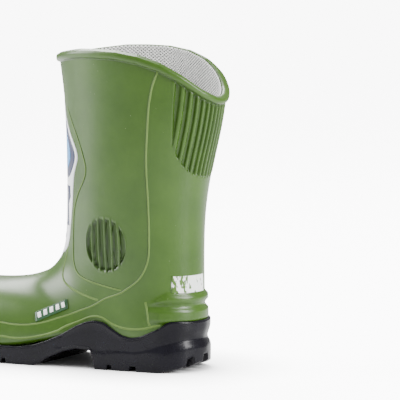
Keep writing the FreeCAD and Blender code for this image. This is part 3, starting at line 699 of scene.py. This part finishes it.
def groove(x, y):
    """1 inside a tread groove, 0 outside it."""
    cut = np.zeros(np.shape(x))
    for place in (140, 172, 204, 236):
        cut = np.maximum(cut, 1 - smoothstep(2.2, 2.9, np.abs(x - place)))
    central = 1 - smoothstep(34, 35, np.abs(y + 2))
    for place in (124, 156, 188, 220):
        cut = np.maximum(cut, (1 - smoothstep(2.2, 2.9, np.abs(x - place))) * central)
    for place, half in ((12, 3.3), (35, 2.6)):
        cut = np.maximum(cut, (1 - smoothstep(half - .3, half + .3, np.abs(x - place))))
    for turn in (152, 180, 208):
        a = math.radians(turn)
        along, across = x * math.cos(a) + y * math.sin(a), np.abs(-x * math.sin(a) + y * math.cos(a))
        cut = np.maximum(cut, 1.35 * (1 - smoothstep(3.7, 4.6, across)) * smoothstep(27, 28.5, along))
    middle = (1 - smoothstep(1.6, 2.2, np.abs(y + 2))) * (x > 112) * (x < 246)
    return np.maximum(cut, middle)


line, out = closed_line(OUTLINE, .9)
x = line[:, 0]
top = np.interp(x, EDGE_TOP[:, 0], EDGE_TOP[:, 1])
kernel = np.hanning(11) / np.hanning(11).sum()
top = np.convolve(np.concatenate([top[-5:], top, top[:5]]), kernel, "valid")
under = np.interp(x, UNDER[:, 0], UNDER[:, 1])
base = under + TREAD_DEPTH * groove(x, line[:, 1])
at_back = np.clip(-out[:, 0] + .25, 0, 1) * (1 - smoothstep(-16, 2, x))
ledge = np.interp(x, (-60, -34, -22, -5, 20), (28.5, 28, 25, 21.5, 19))
ledge = np.minimum(ledge, under + .6 * (top - under))
span = top - ledge
fold = .35 * smoothstep(6, 14, span)
level_with = np.zeros(len(line))
# rows of the wall, from its edge down: height, and how far out of the outline it stands
rows = [(top - 1.6, -5.2 - at_back),
        (top - .5, -3.4 - at_back),
        (top, -2.2 - .9 * at_back),
        (top, -1.1 - .7 * at_back),
        (top - .35, -.3 - .6 * at_back),
        (top - 1.0, .1 - .5 * at_back),
        (top - 2.0, .15 - .45 * at_back),
        (top - 2.8, -.05 - .4 * at_back)]
# the wall bellies out under its edge, dips into a hollow round the back of the heel and swells again below
# it: share of the way down to the ledge, and how deep the hollow is there
HOLLOW = [(.22, .35), (.36, .5), (.5, .95), (.62, 1.6), (.74, 2.35), (.84, 2.85), (.92, 3.0), (1.0, 2.75),
          (1.08, 2.0), (1.16, 1.15), (1.26, .45), (1.38, .05)]
for share, hollow in HOLLOW:
    height = np.maximum(top - span * share, base + 4.6 - share)
    side_dip = fold * (1 - at_back) * (share < 1.1)
    rows.append((height, -hollow * at_back - side_dip))
level = np.minimum(np.minimum(under + 12.5, rows[-1][0] - .4), ledge - 3)
rows += [(np.maximum(level, base + 3.1), level_with),
         (base + 3.0, level_with),
         (base + 1.3, level_with - .1),
         (base + .5, level_with - .45),
         (base, level_with - 1.3)]
stack = [np.concatenate([line + out * o[:, None], z[:, None]], -1) for z, o in rows]
axis = np.stack([np.clip(x, 0, 214), np.clip((x - 150) / 110, 0, 1) * -7], -1)
inside = line - out * 1.3
for f in np.linspace(1, 0, 30)[1:]:
    spot = axis + (inside - axis) * f
    depth = np.interp(spot[:, 0], UNDER[:, 0], UNDER[:, 1])
    depth += TREAD_DEPTH * groove(spot[:, 0], spot[:, 1])
    stack.append(np.concatenate([spot, depth[:, None]], -1))
new_piece("outsole_tread", np.array(stack).reshape(-1, 3), grid_faces(len(stack), len(line), True), BLACK,
          "outsole")

# ------------------------------------------------------------------ labels
# outlines on the shin, as y and z, listed from the top of the middle line
HALF_LABEL = [(0, 246), (13, 240), (23, 223), (33, 204), (37, 190), (34, 176), (32, 161), (30.5, 146),
              (27, 124), (22, 105), (10, 99)]
LABEL = HALF_LABEL + [(0, 97.5)] + [(-y, z) for y, z in HALF_LABEL[:0:-1]]
shin = lambda v, p: ((v < 1) | (v > 3)) & (p[..., 2] > 80)

patch("shin_label_base", LABEL, (1, 2), shin, .4, FILM_WHITE, "shin_label", rings=24, around=200)


def both_sides(half):
    """A closed outline from its right half, listed from the top of the middle line to its foot."""
    return half + [(-y, z) for y, z in half[::-1] if y > 0]


def printed(name, outline, height, material, rings, around):
    """One layer of the shin label's print, at a height above the skin."""
    patch("shin_label_" + name, outline, (1, 2), shin, height, material, (), thick=.1, rings=rings,
          around=around)


STAR = both_sides([(0, 242.5), (12, 236.5), (21.5, 221), (31, 203), (34.8, 190), (31.5, 178), (22, 170),
                   (0, 174)])
SKY = both_sides([(0, 237), (9.5, 231), (18, 217), (26.5, 201.5), (29.4, 190), (26, 181.5), (17, 177),
                  (0, 180)])
PLAQUE = [(-28, 163), (28, 163), (28.5, 153), (24.5, 146), (25.5, 126.5), (-25.5, 126.5), (-24.5, 146),
          (-28.5, 153)]
printed("star", STAR, .52, FILM_NAVY, 18, 180)
printed("sky", SKY, .62, FILM_BLUE, 14, 160)
printed("plaque", PLAQUE, .52, FILM_NAVY, 12, 160)
for i, (left, right) in enumerate(((-22.5, -9.5), (-7, 7), (9.5, 22.5))):
    panel = [(left, 129.5), (left, 144), (left, 159.5), (right, 159.5), (right, 144), (right, 129.5)]
    printed(f"panel_{i}", panel, .62, FILM_WHITE, 6, 60)
BAR = [(-17, 114), (-17, 118), (0, 118), (17, 118), (17, 114), (0, 114)]
printed("bar", BAR, .66, FILM_NAVY, 10, 160)

# ------------------------------------------------------------------ heel print and side badge
back = lambda v, p: (v > 1) & (v < 3) & (p[..., 2] < 120)
HEEL_PRINT = [(-6, 71.2), (-6, 86.5), (11, 86.5), (28, 86.5), (28, 71.2), (11, 71.2)]
patch("heel_print_film", HEEL_PRINT, (1, 2), back, .35, PRINT, "heel_print", rings=12)

BADGE_CORNERS = [(111.5, 47.5), (97, 54), (83, 60.5), (80.5, 52.5), (95, 46), (109, 39.5)]
patch("side_badge_plate", BADGE_CORNERS, (0, 2), outer_side, 1.1, BADGE, "side_badge", thick=1.0, rings=8,
      around=96)
along, across = np.array((-1.45, .655)), np.array((.95, 2.1))
for i in range(5):
    at = np.array((106.5, 45.6)) + np.array((-22.8, 10.3)) * (i / 4.35)
    corners = [at + along - across, at + along + across, at + across, at - along + across,
               at - along - across, at - across]
    patch(f"side_badge_bar_{i}", corners, (0, 2), outer_side, 1.55, BADGE_WHITE, (), thick=.4, rings=3,
          around=48)

# ------------------------------------------------------------------ floor, light
floor_mesh = bpy.data.meshes.new("floor")
floor_mesh.from_pydata([(-9, -9, 0), (9, -9, 0), (9, 9, 0), (-9, 9, 0)], [], [(0, 1, 2, 3)])
floor = bpy.data.objects.new("floor", floor_mesh)
scene.collection.objects.link(floor)


def floor_look(tree, shader):
    """A white studio floor, lit up to the backdrop's white where the camera sees it, with a painted contact
    shadow: the glow fades where the boot occludes the floor.
    """
    noise = add(tree, "ShaderNodeTexNoise", [("Scale", 3.0), ("Detail", 3.0)]).outputs["Fac"]
    tree.links.new(mix(tree, noise, (.80, .80, .80), (.82, .82, .82)), shader.inputs["Base Color"])
    shader.inputs["Roughness"].default_value = .4
    shader.inputs["Specular IOR Level"].default_value = .4
    shader.inputs["Emission Color"].default_value = (1, 1, 1, 1)
    seen = add(tree, "ShaderNodeLightPath").outputs["Is Camera Ray"]
    # painted contact shadow: the camera-seen glow is dimmed by ambient occlusion under and round the boot
    open_sky = add(tree, "ShaderNodeAmbientOcclusion", [("Distance", .09)], samples=8).outputs["AO"]
    painted_shadow_factor = add(tree, "ShaderNodeMath", [(0, open_sky), (1, 3.0)], operation="POWER").outputs[0]
    bright = add(tree, "ShaderNodeMath", [(0, painted_shadow_factor), (1, 8.5)], operation="MULTIPLY").outputs[0]
    glow = add(tree, "ShaderNodeMath", [(0, seen), (1, bright)], operation="MULTIPLY").outputs[0]
    tree.links.new(glow, shader.inputs["Emission Strength"])


floor_mesh.materials.append(material("floor", floor_look))


def area_light(name, place, aim, size, power, tall=None):
    data = bpy.data.lights.new(name, "AREA")
    data.energy, data.size = power, size
    if tall:
        data.shape, data.size_y = "RECTANGLE", tall
    obj = bpy.data.objects.new(name, data)
    obj.location = place
    obj.rotation_euler = (Vector(aim) - Vector(place)).to_track_quat("-Z", "Y").to_euler()
    scene.collection.objects.link(obj)


area_light("overhead", (1.0, -.75, 1.7), (.15, 0, .1), 1.2, 95)
area_light("toe_side", (2.0, .75, 1.0), (.10, 0, .15), .9, 88, 1.5)
area_light("heel_side", (-1.7, .1, 1.1), (.0, 0, .2), .8, 88, 1.4)
world = bpy.data.worlds.new("studio")
scene.world = world
world.use_nodes = True
sky = world.node_tree.nodes["Background"]
seen = add(world.node_tree, "ShaderNodeLightPath").outputs["Is Camera Ray"]
level = add(world.node_tree, "ShaderNodeMapRange", [(0, seen), (3, .5), (4, 9.5)]).outputs[0]
world.node_tree.links.new(level, sky.inputs["Strength"])
sky.inputs["Color"].default_value = (1, 1, 1, 1)
